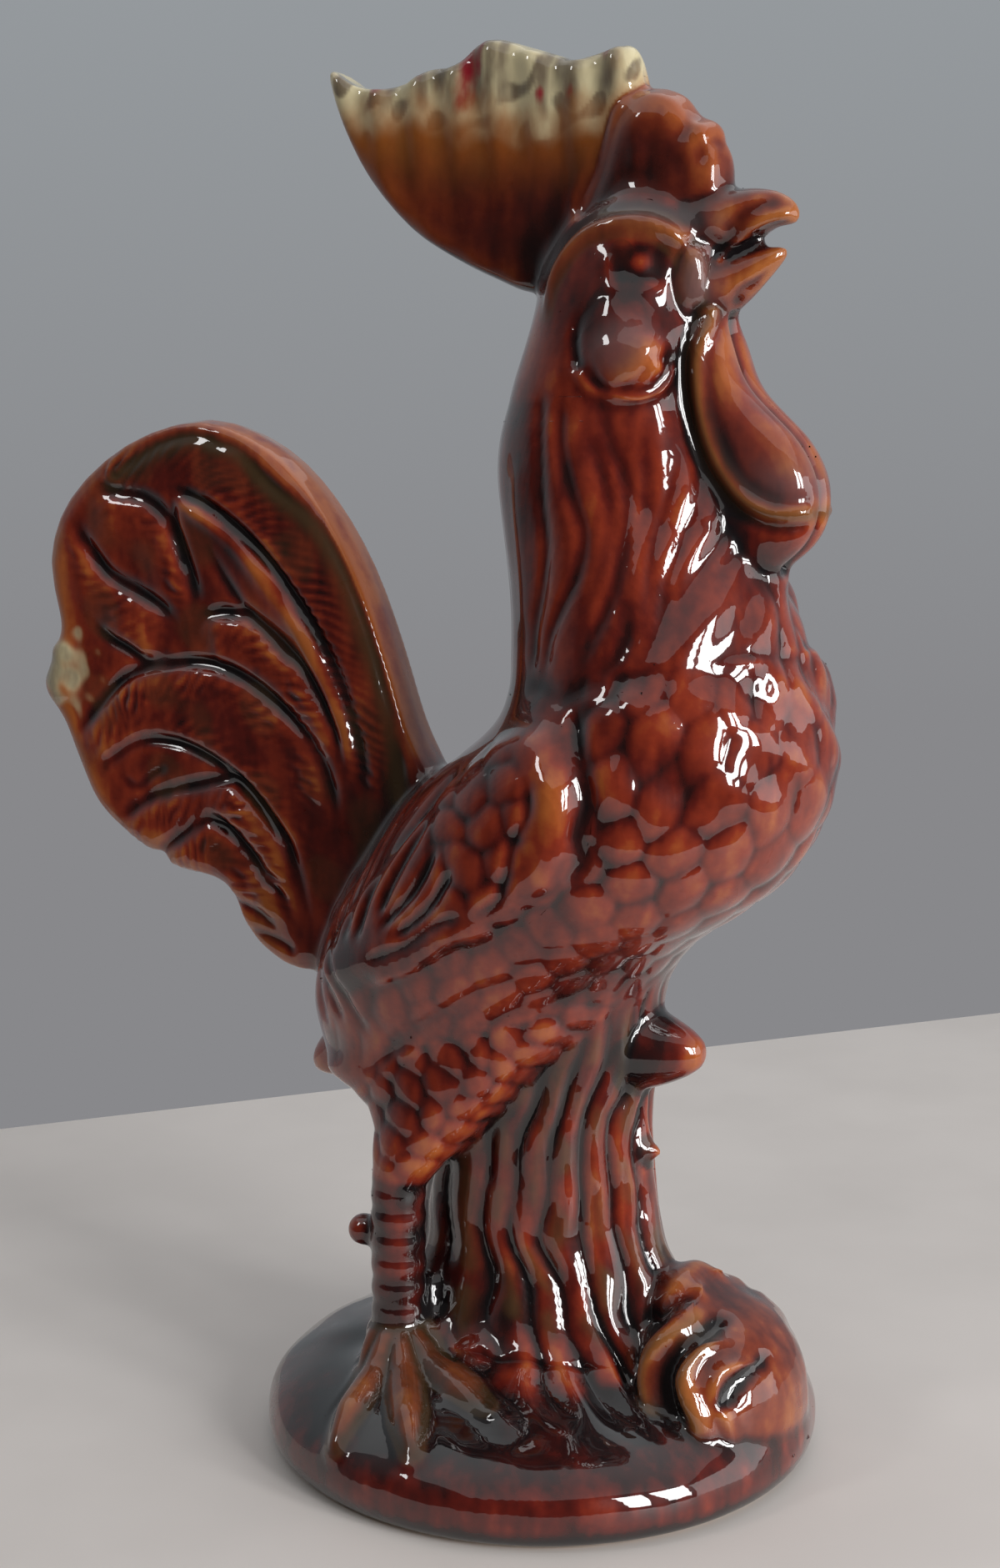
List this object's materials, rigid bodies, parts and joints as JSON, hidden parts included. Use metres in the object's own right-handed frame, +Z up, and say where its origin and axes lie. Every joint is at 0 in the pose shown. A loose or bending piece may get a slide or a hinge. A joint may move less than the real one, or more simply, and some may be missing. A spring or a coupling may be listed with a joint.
{
  "type": "ceramic rooster figurine",
  "caption": "Glazed ceramic rooster standing on a round domed plinth, with a tall comb, a fan of tail feathers and a fluted clump under the belly; a free-standing shelf ornament.",
  "frame": {"origin": "middle of the flat underside of the plinth, on the surface it stands on", "axes": "+Z up, +X the way the rooster faces, +Y to the rooster's left"},
  "size_m": [0.1894, 0.121, 0.2955],
  "materials": {
    "brown_glaze": "gloss",
    "amber_glaze": "gloss",
    "cream_glaze": "gloss",
    "dark_glaze": "gloss"
  },
  "bodies": {
    "root": {"base_plinth": "brown_glaze", "grass_tuft": "brown_glaze", "upper_knot": "brown_glaze", "lower_knot": "brown_glaze", "right_shank": "brown_glaze", "left_shank": "brown_glaze", "right_spur": "brown_glaze", "left_spur": "brown_glaze", "right_thigh": "brown_glaze", "left_thigh": "brown_glaze", "body_shell": "brown_glaze", "right_wing": "brown_glaze", "left_wing": "brown_glaze", "tail_fan": "brown_glaze", "neck_shell": "brown_glaze", "head_shell": "brown_glaze", "right_wattle": "brown_glaze", "left_wattle": "brown_glaze", "right_brow": "brown_glaze", "left_brow": "brown_glaze", "right_ear_lobe": "brown_glaze", "left_ear_lobe": "brown_glaze", "leaf_scroll": "amber_glaze", "right_foot": "amber_glaze", "left_foot": "amber_glaze", "upper_beak": "amber_glaze", "lower_beak": "amber_glaze", "comb_blade": "cream_glaze", "comb_front": "dark_glaze", "tongue": "dark_glaze", "right_eye": "dark_glaze", "left_eye": "dark_glaze"}
  },
  "joints": []
}
